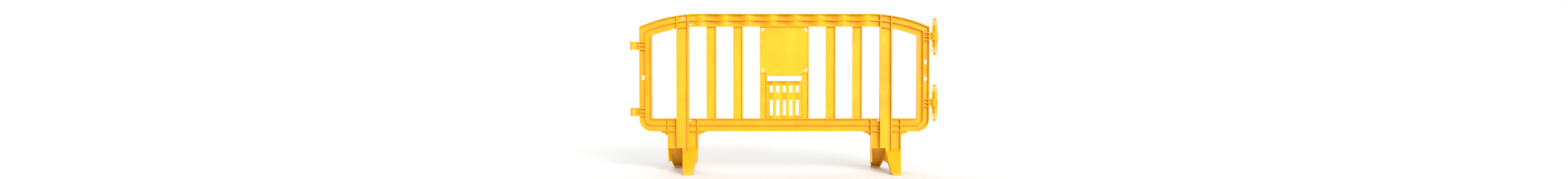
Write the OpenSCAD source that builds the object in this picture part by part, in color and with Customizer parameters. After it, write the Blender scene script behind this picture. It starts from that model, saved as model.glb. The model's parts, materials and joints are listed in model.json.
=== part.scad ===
// Pedestrian barrier panel, moulded in yellow plastic, that couples end to end with others of its kind.
// Millimetres. X runs along the barrier, the front faces -Y, Z is up and the ground is Z = 0.
// Front outlines are drawn in X and Z, side outlines in Y and Z, plans in X and Y.

/* [Frame] */
// Length of the frame over its two stiles
frame_len = 1860; // [1700:10:2100]
// Height of the top rail above the ground
panel_h = 1010; // [950:5:1100]
// Depth of the frame's ribs, front to back
frame_depth = 50; // [44:1:60]
// Thickness of the flat webs
web_t = 4.5; // [3:0.5:7]
// Thickness of the ribs
rib_t = 5; // [3:0.5:7]

/* [Top rail] */
// Height of the top rail
top_rail_h = 82; // [70:1:95]
// Distance from a post's middle to where the rail starts to fall
arch_lead = 108; // [80:1:150]
// Fall of the rail's outer corners
arch_drop = 83; // [60:1:100]
// Length of one wave of the rail's middle web
wave_len = 152; // [120:1:190]
// Swing of that web to each side of the middle plane
wave_amp = 14; // [6:1:16]
// Shortest flat stretch of that web beside a post
wave_margin = 30; // [24:1:50]

/* [Bottom rail] */
// Height of the rail's underside above the ground
bottom_rail_z = 257; // [220:1:300]
// Height of the bottom rail
bottom_rail_h = 82; // [70:1:95]

/* [Stiles] */
// Width of a stile
stile_w = 79; // [72:1:92]
// Outer radius of the frame's lower corners
corner_r = 80; // [70:1:90]
// Radius of the middle rib in those corners
mid_corner_r = 44; // [30:1:48]
// Radius of the frame's opening in those corners
opening_r = 9; // [4:1:15]
// Width of a strap slot
slot_w = 15; // [10:1:18]
// Height of a strap slot
slot_h = 29; // [20:1:40]
// Distance of the strap slots from the stile's outer face
slot_inset = 23; // [20:0.5:25]
// Place of the left stile's strap slot on the way from the lower loop to the upper one
left_slot_share = 0.518; // [0.4:0.002:0.6]
// Place of the right stile's lower strap slot on the way from the lower arm to the upper one
right_lower_slot_share = 0.358; // [0.3:0.002:0.42]
// Place of the right stile's upper strap slot on that way
right_upper_slot_share = 0.614; // [0.56:0.002:0.66]

/* [Posts] */
// Distance of the posts' middles from the frame's ends
post_inset = 278; // [250:1:310]
// Width of a post
post_w = 77; // [70:1:90]
// Thickness of a post's flanges
post_flange_t = 6.5; // [5:0.5:10]
// How far the flanges stand proud of the ribs at the top
post_proud = 2; // [1:0.5:4]
// Depth of the flanges where they meet the feet
post_foot_depth = 100; // [80:1:130]
// Depth over a post's two webs at the bottom
post_web_depth = 56; // [40:1:70]
// Height over which a flange runs out where no foot carries it
post_fade = 55; // [30:1:80]
// Width of the bare label pocket in a post's front
pocket_w = 35; // [20:1:45]
// Height of the label pocket
pocket_h = 76; // [40:1:100]
// Height of the label pocket's middle above the ground
pocket_z = 489; // [440:1:540]
// Depth of the label pocket
pocket_depth = 2.5; // [0.5:0.5:3]

/* [Slats] */
// Share of a bay's free width in each of its two gaps nearer the middle
slat_share = 0.328; // [0.28:0.002:0.36]
// Width of a slat
slat_w = 62; // [50:1:75]
// Depth of a slat's flanges
slat_depth = 36; // [20:1:44]
// Thickness of the flanges of the slats, bars and sign plate
slat_flange_t = 4.5; // [3:0.5:7]

/* [Middle unit] */
// Width of the sign plate
sign_w = 314; // [280:1:360]
// Thickness of the sign plate
sign_t = 4; // [3:0.5:6]
// Depth of the sign plate's face behind its flanges
sign_recess = 6; // [2:0.5:8]
// Depth of the middle unit's flanges
unit_depth = 32; // [24:1:44]
// Height by which the sign plate reaches down between the bars
sign_lip = 19; // [10:1:30]
// Short sides of the triangular tie holes
tie_hole = 23; // [15:1:30]
// Distance of the tie holes from the plate's edges
tie_inset = 12; // [8:1:20]
// Width of the hand slot and the grille
hand_slot_w = 223; // [215:1:240]
// Height of the hand slot
hand_slot_h = 31; // [25:1:50]
// Height of the grille
grille_h = 241; // [220:1:260]
// Number of slots in a row of the grille
grille_columns = 5; // [3:1:5]
// Distance from one slot to the next
grille_pitch = 41.6; // [36:0.1:42]
// Width of a slot
grille_slot_w = 20; // [12:1:24]
// Height of the upper slots
upper_slot_h = 43.5; // [30:0.5:60]
// Height of the lower slots
lower_slot_h = 100; // [80:1:110]
// Height of plain grille above the upper slots
grille_head = 30.5; // [20:0.5:35]
// Height of plain grille below the lower slots
grille_sill = 18.5; // [10:0.5:25]
// Swing of the grille to each side of its middle plane
grille_amp = 8; // [4:0.5:9]

/* [Legs and feet] */
// Width of a leg
leg_w = 195; // [180:1:230]
// Height at which the leg bends out into its feet
fold_z = 150; // [130:1:180]
// Length of a gusset along the rail
gusset_w = 55; // [30:1:70]
// Height of a gusset
gusset_h = 31; // [15:1:40]
// Reach of each foot from the middle plane
foot_reach = 255; // [220:1:300]
// Thickness of a foot's walls
foot_t = 6; // [4:0.5:7]
// Height of the toe's front
toe_h = 12; // [10:1:18]
// Radius of the toe's corners
toe_r = 16; // [10:1:18]
// Length of the toe that stands on the ground
pad_len = 30; // [20:1:45]
// Thickness of the toe's floor
pad_t = 6; // [4:0.5:7]
// Thickness of the toe's front wall
toe_t = 10; // [9:0.5:14]
// Height of the arch between the two feet
arch_h = 58; // [40:1:75]
// Half length of the arch's level top
arch_flat = 100; // [50:1:120]
// How far a foot's outer side leans in by the ground
foot_lean = 7; // [3:1:12]
// How far a foot's outer side runs in towards its toe
outer_taper = 21; // [10:1:26]
// How far a foot's inner side runs in towards its toe
inner_taper = 17; // [6:1:20]

/* [Holes] */
// Diameter of the four banner holes
banner_hole_d = 12; // [8:1:14]
// Distance of a banner hole from the post beside it
banner_gap = 9; // [8:0.5:16]
// Distance of a banner hole from the rail's inner edge
banner_inset = 13; // [12:0.5:20]
// Diameter of the lamp hole in the left post
lamp_hole_d = 13; // [8:1:16]
// Depth of the lamp hole below the top
lamp_drop = 29; // [22:1:34]

/* [Coupling] */
// Height of the lower arm's middle above the ground
lower_arm_z = 440; // [420:1:470]
// Depth of the upper arm's middle below the top rail's top
upper_arm_drop = 145; // [130:1:180]
// Distance of the loops below the arms
loop_below = 60; // [56:1:64]
// Reach of the loops and arms beyond the frame
coupling_reach = 62; // [58:1:70]
// Thickness of the coupling ribs
coupling_rib_t = 4; // [3:0.5:6]
// Outer diameter of a loop
loop_od = 49; // [47:1:56]
// Bore of a loop
loop_bore = 37; // [36:0.5:40]
// Height of a loop
loop_h = 52; // [48:1:56]
// How far a loop's rims stand proud of its barrel
rim_proud = 2; // [1:0.5:3]
// Thickness of the neck of a loop or arm
neck_t = 12; // [8:1:20]
// Width of the coupling ribs along the neck
neck_w = 34; // [26:1:44]
// Height of an arm
arm_h = 50; // [44:1:54]
// Distance of the pin's axis from the frame
pin_out = 36; // [32:0.5:38]
// How far an arm's ribs stand proud of its eye
eye_proud = 4; // [2:0.5:6]

/* [Pins] */
// Length of a pin
pin_len = 238; // [230:1:250]
// Width of a pin's crossed plates
pin_w = 34.5; // [33:0.5:35]
// Thickness of those plates
pin_t = 7; // [5:0.5:8]
// Diameter of the pin's round heads
head_d = 27; // [24:1:30]
// Height of a head above the plane where it starts
head_h = 16; // [12:1:18]
// Distance of the barbs' pivots from the pin's middle
barb_root = 70; // [66:1:72]
// Distance of a barb's ball from its pivot
barb_len = 24.5; // [20:0.5:26]
// Width of a barb's finger
finger_w = 5.6; // [4:0.1:6]
// Width of the slit between a finger and the core
slit_w = 5.2; // [5:0.1:6]
// Distance of a barb's outermost point from the pin's axis
barb_out = 21.5; // [20:0.5:23]
// Radius of the barb's ball
ball_r = 4.6; // [4:0.1:5.5]
// Radius of the barb's round root
root_r = 3.2; // [3:0.1:3.5]
// Gap around the barb's root
root_gap = 0.3; // [0.2:0.05:0.5]
// Wall left outside the root's socket
socket_wall = 0.7; // [0.5:0.1:1]

/* [Hidden] */
$fn = 128;
plastic = "#ffcc22";
wave_steps = 16;
half_len = frame_len / 2;
rib_y = frame_depth / 2;
through = 2 * foot_reach;
skin = 1;

rail_under = panel_h - top_rail_h;
bottom_rail_top = bottom_rail_z + bottom_rail_h;
top_ribs = [0, (top_rail_h - rib_t) / 2, top_rail_h - rib_t];
bottom_ribs = [0, (bottom_rail_h - rib_t) / 2, bottom_rail_h - rib_t];

post_x = half_len - post_inset;
post_in = post_x - post_w / 2;
post_out = post_x + post_w / 2;
post_clear = post_w / 2 - post_flange_t;

// The arch is one arc that leaves the level top smoothly and ends at the outer corner
arch_start = post_x - arch_lead;
arch_run = half_len - arch_start;
arch_r = (pow(arch_run, 2) + pow(arch_drop, 2)) / (2 * arch_drop);
function arch_z(x, d) = panel_h - arch_r + sqrt(pow(arch_r - d, 2) - pow(x - arch_start, 2));
corner_out = [half_len, panel_h - arch_drop];
corner_in = [half_len - stile_w, arch_z(half_len - stile_w, top_rail_h)];
mitre_out = corner_out + (corner_out - corner_in) / 2;
mitre_in = corner_in - (corner_out - corner_in) / 2;

stile_end = half_len - stile_w - opening_r;
stile_mid = (stile_w - rib_t) / 2;
banner_x = post_in - banner_gap;
banner_z = [bottom_rail_top - banner_inset, rail_under + banner_inset];

// The middle web swings in whole quarter waves and lies flat beside the posts
half_waves = floor((post_in - wave_margin) / (wave_len / 2) - 0.5) + 0.5;
wave_end = half_waves * wave_len / 2;
function wave_y(x) = abs(x) < wave_end ? wave_amp * cos(360 * x / wave_len) : 0;

// The foot's top runs straight from the leg's fold to the toe
slope = (fold_z - toe_h) / (foot_reach - web_t / 2);
function slope_z(y) = fold_z - (y - web_t / 2) * slope;
slope_drop = foot_t * sqrt(1 + pow(slope, 2));
post_foot_z = slope_z(post_foot_depth / 2);
function flange_y(z) = let (top_y = rib_y + post_proud)
    top_y + (post_foot_depth / 2 - top_y) * (panel_h - z) / (panel_h - post_foot_z);
function post_web_y(z) = web_t / 2 + (post_web_depth - web_t) / 2 * (panel_h - z) / (panel_h - fold_z);

slat_gap = slat_share * (post_in - sign_w / 2 - 2 * slat_w);
inner_slat_x = (sign_w + slat_w) / 2 + slat_gap;
outer_slat_x = inner_slat_x + slat_w + slat_gap;

bar_w = (sign_w - hand_slot_w) / 2;
unit_y = unit_depth / 2;
grille_top = bottom_rail_top + grille_h;
sign_z = grille_top + hand_slot_h;
bar_top = sign_z + sign_lip;
grille_wave = 2 * grille_pitch;
function grille_y(x) = -grille_amp * cos(360 * (x - grille_pitch / 2) / grille_wave);

arm_z = [lower_arm_z, panel_h - upper_arm_drop];
loop_z = [for (z = arm_z) z - loop_below];
coupling_rise = arm_z[1] - arm_z[0];
left_slot_z = loop_z[0] + left_slot_share * coupling_rise;
right_slot_z = [
    for (share = [right_lower_slot_share, right_upper_slot_share]) arm_z[0] + share * coupling_rise
];
loop_x = half_len + coupling_reach - loop_od / 2;
pin_x = half_len + pin_out;
eye_r = coupling_reach - pin_out;
barb_x = pin_w / 2 - socket_wall - root_gap - root_r;
ball_x = barb_out - ball_r;
ridge_z = barb_root + barb_len;
core_w = 2 * (barb_x - finger_w / 2 - slit_w);
head_z = pin_len / 2 - head_h;

// Gives a front outline its depth, evenly about the middle plane
module slab(depth) rotate([90, 0, 0]) linear_extrude(height = depth, center = true) children();

// Gives a side outline its width, from x0 to x1
module side_slab(x0, x1)
    translate([x0, 0, 0]) rotate([90, 0, 90]) linear_extrude(height = x1 - x0) children();

// A rectangle between two opposite corners
module box2(low, high) translate(low) square(high - low);

// Everything below the top rail's outline, lowered by d
module under_arch(d) {
    box2([-arch_start, -d], [arch_start, panel_h - d]);
    for (side = [-1, 1])
        intersection() {
            translate([side * arch_start, panel_h - arch_r]) circle(arch_r - d, $fn = 4 * $fn);
            mirror([side < 0 ? 1 : 0, 0]) box2([arch_start, -d], [half_len + d, panel_h]);
        }
}

// A strip of the top rail, between two depths below its outline
module arch_strip(d0, d1)
    difference() {
        under_arch(d0);
        under_arch(d1);
    }

// The top rail's ribs, where the child outline lets them through
module top_rail_ribs()
    for (d = top_ribs)
        slab(frame_depth)
            intersection() {
                arch_strip(d, d + rib_t);
                children();
            }

// What lies on the rail's side of the mitre at the frame's right corner
module rail_end_clip()
    polygon([
        [post_out, bottom_rail_top], [post_out, panel_h + skin], [mitre_out[0], panel_h + skin],
        mitre_out, mitre_in, [mitre_in[0], bottom_rail_top]
    ]);

module rail_end() {
    top_rail_ribs() rail_end_clip();
    slab(web_t)
        intersection() {
            arch_strip(0, top_rail_h);
            rail_end_clip();
        }
}

module top_rail_left() color(plastic) mirror([1, 0, 0]) rail_end();

module top_rail_right() color(plastic) rail_end();

// The plan of a web from x0 to x1, swung to the given places
module wavy_plan(x0, x1, steps, ys)
    polygon(concat(
        [for (i = [0:steps]) [x0 + (x1 - x0) * i / steps, ys[i] - web_t / 2]],
        [for (i = [steps:-1:0]) [x0 + (x1 - x0) * i / steps, ys[i] + web_t / 2]]
    ));

module banner_hole(side, z)
    translate([side * banner_x, 0, z])
        rotate([90, 0, 0]) cylinder(d = banner_hole_d, h = through, center = true);

module top_rail_middle() {
    steps = ceil(2 * post_in / wave_len * wave_steps);
    ys = [for (i = [0:steps]) wave_y(post_in * (2 * i / steps - 1))];
    color(plastic)
        difference() {
            union() {
                top_rail_ribs() box2([-post_in, bottom_rail_top], [post_in, panel_h]);
                intersection() {
                    translate([0, 0, bottom_rail_top])
                        linear_extrude(height = panel_h - bottom_rail_top)
                            wavy_plan(-post_in, post_in, steps, ys);
                    slab(frame_depth)
                        intersection() {
                            arch_strip(0, top_rail_h);
                            box2([-post_in, bottom_rail_top], [post_in, panel_h]);
                        }
                }
            }
            for (side = [-1, 1]) banner_hole(side, banner_z[1]);
        }
}

// The frame's right end inset by dx at its side and dz at its underside, with a round corner
module end_area(dx, dz, r)
    intersection() {
        polygon([mitre_in, mitre_out, [mitre_out[0], 0], [mitre_in[0], 0]]);
        difference() {
            box2([stile_end, bottom_rail_z + dz], [half_len - dx, corner_out[1]]);
            translate([half_len - dx - r, bottom_rail_z + dz + r])
                difference() {
                    box2([0, -r - skin], [r + skin, 0]);
                    circle(r);
                }
        }
    }

module stile(rib_heights, rib_span, slot_heights)
    difference() {
        union() {
            slab(web_t)
                difference() {
                    end_area(0, 0, corner_r);
                    end_area(stile_w, bottom_rail_h, opening_r);
                }
            slab(frame_depth)
                difference() {
                    end_area(0, 0, corner_r);
                    end_area(rib_t, rib_t, corner_r - rib_t);
                }
            slab(frame_depth)
                difference() {
                    end_area(stile_mid, bottom_ribs[1], mid_corner_r);
                    end_area(stile_mid + rib_t, bottom_ribs[1] + rib_t, mid_corner_r - rib_t);
                }
            slab(frame_depth)
                difference() {
                    end_area(stile_w - rib_t, bottom_ribs[2], opening_r + rib_t);
                    end_area(stile_w, bottom_rail_h, opening_r);
                }
            for (z = rib_heights, k = [-1:1])
                translate([half_len - stile_mid - rib_t / 2, 0, z + k * (rib_span - coupling_rib_t) / 2])
                    slab(frame_depth) box2([0, -coupling_rib_t / 2], [stile_mid, coupling_rib_t / 2]);
        }
        for (z = slot_heights)
            translate([half_len - slot_inset, 0, z]) cube([slot_w, through, slot_h], center = true);
    }

module left_stile() color(plastic) mirror([1, 0, 0]) stile(loop_z, loop_h, [left_slot_z]);

module right_stile() color(plastic) stile(arm_z, arm_h, right_slot_z);

// A straight stretch of the bottom rail
module bottom_rail(x0, x1) {
    slab(web_t) box2([x0, bottom_rail_z], [x1, bottom_rail_top]);
    for (d = bottom_ribs) slab(frame_depth) box2([x0, bottom_rail_z + d], [x1, bottom_rail_z + d + rib_t]);
}

module bottom_rail_left() color(plastic) bottom_rail(-stile_end, -post_x - leg_w / 2);

module bottom_rail_right() color(plastic) bottom_rail(post_x + leg_w / 2, stile_end);

module bottom_rail_middle() color(plastic) bottom_rail(leg_w / 2 - post_x, post_x - leg_w / 2);

// Half of a post, with the front web and the flange that runs down onto the front foot
module post_half() {
    side_slab(post_clear, post_w / 2)
        polygon([
            [-flange_y(panel_h), panel_h], [-post_foot_depth / 2, post_foot_z], [-web_t / 2, fold_z],
            [post_web_depth / 2, fold_z], [flange_y(fold_z + post_fade), fold_z + post_fade],
            [flange_y(panel_h), panel_h]
        ]);
    side_slab(-post_clear, post_clear)
        polygon([
            [-post_web_y(panel_h), panel_h], [-post_web_y(fold_z), fold_z],
            [web_t - post_web_y(fold_z), fold_z], [web_t - post_web_y(panel_h), panel_h]
        ]);
    side_slab(-foot_t / 2, post_clear)
        polygon([
            [-post_web_y(fold_z), fold_z], [-post_web_y(fold_z), slope_z(post_web_y(fold_z))],
            [web_t - post_web_y(fold_z), slope_z(post_web_y(fold_z) - web_t)],
            [web_t - post_web_y(fold_z), fold_z]
        ]);
}

// The shallow pocket in the face of the front web
module label_pocket() {
    low = pocket_z - pocket_h / 2;
    high = pocket_z + pocket_h / 2;
    side_slab(-pocket_w / 2, pocket_w / 2)
        polygon([
            [-post_web_y(low) - skin, low], [-post_web_y(high) - skin, high],
            [pocket_depth - post_web_y(high), high], [pocket_depth - post_web_y(low), low]
        ]);
}

module post(x) {
    intersection() {
        translate([x, 0, 0])
            difference() {
                for (turn = [0, 180]) rotate([0, 0, turn]) post_half();
                label_pocket();
            }
        slab(through) under_arch(0);
    }
    top_rail_ribs() box2([x - post_clear, bottom_rail_top], [x + post_clear, panel_h]);
}

module left_post()
    color(plastic)
        difference() {
            post(-post_x);
            translate([-post_x, 0, panel_h - lamp_drop])
                rotate([90, 0, 0]) cylinder(d = lamp_hole_d, h = through, center = true);
        }

module right_post() color(plastic) post(post_x);

// A channel that stands between the rails, from x0 to x1
module channel(x0, x1, depth, top) {
    slab(web_t) box2([x0, bottom_rail_top], [x1, top]);
    for (x = [x0, x1 - slat_flange_t])
        slab(depth) box2([x, bottom_rail_top], [x + slat_flange_t, top]);
}

module slat(x)
    color(plastic)
        intersection() {
            channel(x - slat_w / 2, x + slat_w / 2, slat_depth, panel_h);
            slab(frame_depth) under_arch(top_rail_h);
        }

module left_outer_slat() slat(-outer_slat_x);

module left_inner_slat() slat(-inner_slat_x);

module right_inner_slat() slat(inner_slat_x);

module right_outer_slat() slat(outer_slat_x);

module sign_plate()
    color(plastic) {
        translate([0, sign_recess + (sign_t - unit_depth) / 2, 0])
            slab(sign_t)
                difference() {
                    union() {
                        box2([-sign_w / 2, bar_top], [sign_w / 2, rail_under]);
                        box2([-hand_slot_w / 2, sign_z], [hand_slot_w / 2, bar_top]);
                    }
                    for (side = [-1, 1], up = [-1, 1])
                        translate([
                            side * (sign_w / 2 - tie_inset),
                            (bar_top + rail_under + up * (rail_under - bar_top)) / 2 - up * tie_inset
                        ])
                            polygon([[0, 0], [-side * tie_hole, 0], [0, -up * tie_hole]]);
                }
        for (x = [-sign_w / 2, sign_w / 2 - slat_flange_t])
            slab(unit_depth) box2([x, bar_top], [x + slat_flange_t, rail_under]);
        slab(unit_depth) box2([-hand_slot_w / 2, sign_z], [hand_slot_w / 2, sign_z + slat_flange_t]);
    }

module left_centre_bar() color(plastic) channel(-sign_w / 2, bar_w - sign_w / 2, unit_depth, bar_top);

module right_centre_bar() color(plastic) channel(sign_w / 2 - bar_w, sign_w / 2, unit_depth, bar_top);

module grille() {
    steps = ceil(hand_slot_w / grille_wave * wave_steps);
    ys = [for (i = [0:steps]) grille_y(hand_slot_w * (i / steps - 0.5))];
    color(plastic) {
        difference() {
            translate([0, 0, bottom_rail_top])
                linear_extrude(height = grille_h) wavy_plan(-hand_slot_w / 2, hand_slot_w / 2, steps, ys);
            for (i = [0:grille_columns - 1])
                translate([(i - (grille_columns - 1) / 2) * grille_pitch, 0, 0])
                    slab(through) {
                        translate([-grille_slot_w / 2, grille_top - grille_head - upper_slot_h])
                            square([grille_slot_w, upper_slot_h]);
                        translate([-grille_slot_w / 2, bottom_rail_top + grille_sill])
                            square([grille_slot_w, lower_slot_h]);
                    }
        }
        slab(unit_depth)
            box2([-hand_slot_w / 2, grille_top - slat_flange_t], [hand_slot_w / 2, grille_top]);
    }
}

// The part of a leg beside the post, on the front foot's side, with the rail's ribs running across it
module leg_plate() {
    slab(web_t) box2([post_w / 2, fold_z], [leg_w / 2, bottom_rail_top]);
    for (d = bottom_ribs)
        slab(frame_depth) box2([post_w / 2, bottom_rail_z + d], [leg_w / 2, bottom_rail_z + d + rib_t]);
    side_slab(leg_w / 2 - rib_t, leg_w / 2)
        polygon([
            [-rib_y, bottom_rail_top], [-rib_y, slope_z(rib_y)], [-web_t / 2, fold_z],
            [rib_y, fold_z], [rib_y, bottom_rail_top]
        ]);
    slab(web_t)
        polygon([
            [leg_w / 2, bottom_rail_z], [leg_w / 2 + gusset_w, bottom_rail_z],
            [leg_w / 2, bottom_rail_z - gusset_h]
        ]);
}

// Places a leg's piece at the post, turned half round for the rear foot's side
module at_leg(x, turn) color(plastic) translate([x, 0, 0]) rotate([0, 0, turn]) children();

module left_leg_outer_plate() at_leg(-post_x, 180) leg_plate();

module left_leg_inner_plate()
    difference() {
        at_leg(-post_x, 0) leg_plate();
        banner_hole(-1, banner_z[0]);
    }

module right_leg_inner_plate()
    difference() {
        at_leg(post_x, 180) leg_plate();
        banner_hole(1, banner_z[0]);
    }

module right_leg_outer_plate() at_leg(post_x, 0) leg_plate();

// The front view of what lies within a foot's leaning outer side, set in by t
module foot_front(t)
    polygon([
        [-leg_w, fold_z + skin], [leg_w / 2 - t, fold_z + skin], [leg_w / 2 - t, fold_z],
        [leg_w / 2 - foot_lean - t, 0], [leg_w / 2 - foot_lean - t, -skin], [-leg_w, -skin]
    ]);

// The plan of a foot: its inner wall and plate end at the leg, its outer wall runs on under the leg's flange
module foot_plan()
    polygon([
        [-foot_t / 2, 0], [-foot_t / 2, -rib_y],
        [inner_taper, toe_r - foot_reach], [inner_taper, -foot_reach],
        [leg_w / 2 - outer_taper, -foot_reach], [leg_w / 2 - outer_taper, toe_r - foot_reach],
        [leg_w / 2, -rib_y], [leg_w / 2, rib_y], [leg_w / 2 - foot_t - foot_lean, rib_y],
        [leg_w / 2 - foot_t - foot_lean, web_t / 2], [foot_t / 2, web_t / 2], [foot_t / 2, 0]
    ]);

// The plan of the hollow between a foot's walls
module hollow_plan()
    polygon([
        [foot_t / 2, rib_y + skin], [foot_t / 2, -rib_y], [inner_taper + foot_t, toe_r - foot_reach],
        [inner_taper + foot_t, -foot_reach], [leg_w / 2 - outer_taper - foot_t, -foot_reach],
        [leg_w / 2 - outer_taper - foot_t, toe_r - foot_reach], [leg_w / 2 - foot_t, -rib_y],
        [leg_w / 2 - foot_t, rib_y + skin]
    ]);

// What a foot's plan and its leaning outer side leave, set in by t
module foot_sides(t)
    intersection() {
        slab(through) foot_front(t);
        translate([0, 0, -skin]) linear_extrude(height = fold_z + 2 * skin) children();
    }

// What the rounding takes off the toe's two corners
module toe_corners() {
    inner = inner_taper + toe_r;
    outer = leg_w / 2 - outer_taper - toe_r;
    translate([0, toe_r - foot_reach, -skin])
        linear_extrude(height = fold_z)
            difference() {
                box2([-skin, -toe_r - skin], [leg_w / 2 + skin, 0]);
                box2([inner, -toe_r], [outer, skin]);
                for (x = [inner, outer]) translate([x, 0]) circle(toe_r);
            }
}

// A front foot: a sloping plate between two walls, open below and behind, with a floor in its toe
module foot() {
    toe_y = foot_reach - toe_t;
    hollow_top = slope_z(0) - slope_drop;
    difference() {
        intersection() {
            side_slab(-foot_t / 2, leg_w / 2)
                polygon([
                    [rib_y, fold_z], [-web_t / 2, fold_z], [-foot_reach, toe_h], [-foot_reach, 0],
                    [pad_len - foot_reach, 0], [-arch_flat, arch_h], [rib_y, arch_h]
                ]);
            foot_sides(0) foot_plan();
        }
        intersection() {
            side_slab(0, leg_w / 2)
                polygon([
                    [(fold_z + skin - hollow_top) / slope, fold_z + skin], [rib_y + skin, fold_z + skin],
                    [rib_y + skin, -skin], [pad_len - foot_reach, -skin], [pad_len - foot_reach, pad_t],
                    [-toe_y, pad_t], [-toe_y, hollow_top - toe_y * slope]
                ]);
            foot_sides(foot_t) hollow_plan();
        }
        toe_corners();
    }
}

module left_front_foot() at_leg(-post_x, 0) foot();

module left_rear_foot() at_leg(-post_x, 180) foot();

module right_front_foot() at_leg(post_x, 0) foot();

module right_rear_foot() at_leg(post_x, 180) foot();

// The three ribs of a loop or arm: a round eye with a straight neck of the given length
module coupling_ribs(r, length, span)
    for (k = [-1:1])
        translate([0, 0, k * (span - coupling_rib_t) / 2])
            linear_extrude(height = coupling_rib_t, center = true) {
                circle(r);
                translate([0, -neck_w / 2]) square([length, neck_w]);
            }

module loop(z)
    color(plastic)
        translate([-loop_x, 0, z])
            difference() {
                union() {
                    coupling_ribs(loop_od / 2, loop_x - half_len, loop_h);
                    cylinder(r = loop_od / 2 - rim_proud, h = loop_h, center = true);
                    translate([0, -neck_t / 2, -loop_h / 2]) cube([loop_x - half_len, neck_t, loop_h]);
                }
                cylinder(d = loop_bore, h = loop_h + 2 * skin, center = true);
            }

module lower_loop() loop(loop_z[0]);

module upper_loop() loop(loop_z[1]);

module arm(z)
    color(plastic)
        translate([pin_x, 0, z])
            difference() {
                union() {
                    mirror([1, 0, 0]) coupling_ribs(eye_r, pin_out, arm_h);
                    cylinder(r = eye_r - eye_proud, h = arm_h, center = true);
                    translate([-pin_out, -neck_t / 2, -arm_h / 2]) cube([pin_out, neck_t, arm_h]);
                    cube([pin_t, 2 * eye_r - eye_proud, arm_h], center = true);
                }
                cylinder(d = pin_w, h = arm_h + 2 * skin, center = true);
                for (turn = [0, 90])
                    rotate([0, 0, turn]) cube([pin_w, pin_t, arm_h + 2 * skin], center = true);
            }

module lower_arm() arm(arm_z[0]);

module upper_arm() arm(arm_z[1]);

// One of a pin's two crossed plates: a shank of the given half length, a core and two round heads
module pin_plate(reach)
    slab(pin_t) {
        square([pin_w, 2 * reach], center = true);
        square([core_w, 2 * head_z + skin], center = true);
        for (end = [-1, 1])
            intersection() {
                translate([0, end * (pin_len - head_d) / 2]) circle(d = head_d);
                translate([0, end * (head_z + head_h / 2)]) square([head_d, head_h], center = true);
            }
    }

// Round sockets for the barbs' roots
module barb_sockets()
    for (side = [-1, 1], end = [-1, 1])
        translate([side * barb_x, 0, end * barb_root])
            rotate([90, 0, 0]) cylinder(r = root_r + root_gap, h = pin_w, center = true);

module pin(z)
    color(plastic)
        translate([pin_x, 0, z])
            difference() {
                union() {
                    pin_plate(barb_root);
                    rotate([0, 0, 90]) pin_plate(ridge_z);
                    cylinder(d = pin_w, h = arm_h, center = true);
                }
                barb_sockets();
            }

module lower_pin() pin(arm_z[0]);

module upper_pin() pin(arm_z[1]);

// A snap barb: round root, finger and ball; side 1 is the outer one, end 1 the top one
module barb(z, end, side)
    color(plastic)
        translate([pin_x, 0, z])
            mirror([side < 0 ? 1 : 0, 0, 0])
                mirror([0, 0, end < 0 ? 1 : 0])
                    slab(pin_t) {
                        translate([barb_x, barb_root]) circle(root_r);
                        polygon([
                            [barb_x - finger_w / 2, barb_root], [barb_x + finger_w / 2, barb_root],
                            [ball_x + finger_w / 2, ridge_z], [ball_x - finger_w / 2, ridge_z]
                        ]);
                        translate([ball_x, ridge_z]) circle(ball_r);
                    }

module lower_pin_bottom_inner_barb() barb(arm_z[0], -1, -1);

module lower_pin_bottom_outer_barb() barb(arm_z[0], -1, 1);

module lower_pin_top_inner_barb() barb(arm_z[0], 1, -1);

module lower_pin_top_outer_barb() barb(arm_z[0], 1, 1);

module upper_pin_bottom_inner_barb() barb(arm_z[1], -1, -1);

module upper_pin_bottom_outer_barb() barb(arm_z[1], -1, 1);

module upper_pin_top_inner_barb() barb(arm_z[1], 1, -1);

module upper_pin_top_outer_barb() barb(arm_z[1], 1, 1);

top_rail_left();
top_rail_middle();
top_rail_right();
left_stile();
right_stile();
bottom_rail_left();
bottom_rail_middle();
bottom_rail_right();
left_post();
right_post();
left_outer_slat();
left_inner_slat();
right_inner_slat();
right_outer_slat();
sign_plate();
left_centre_bar();
right_centre_bar();
grille();
left_leg_outer_plate();
left_leg_inner_plate();
right_leg_inner_plate();
right_leg_outer_plate();
left_front_foot();
left_rear_foot();
right_front_foot();
right_rear_foot();
lower_loop();
upper_loop();
lower_arm();
upper_arm();
lower_pin();
upper_pin();
lower_pin_bottom_inner_barb();
lower_pin_bottom_outer_barb();
lower_pin_top_inner_barb();
lower_pin_top_outer_barb();
upper_pin_bottom_inner_barb();
upper_pin_bottom_outer_barb();
upper_pin_top_inner_barb();
upper_pin_top_outer_barb();
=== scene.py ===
"""Looks of a moulded pedestrian barrier panel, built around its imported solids.

Metres, in the solids' own frame: X along the panel, the front faces -Y, Z is up and the ground is Z = 0.
"""

import json
import math

import bmesh
import bpy
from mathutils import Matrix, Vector
from mathutils.bvhtree import BVHTree

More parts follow.
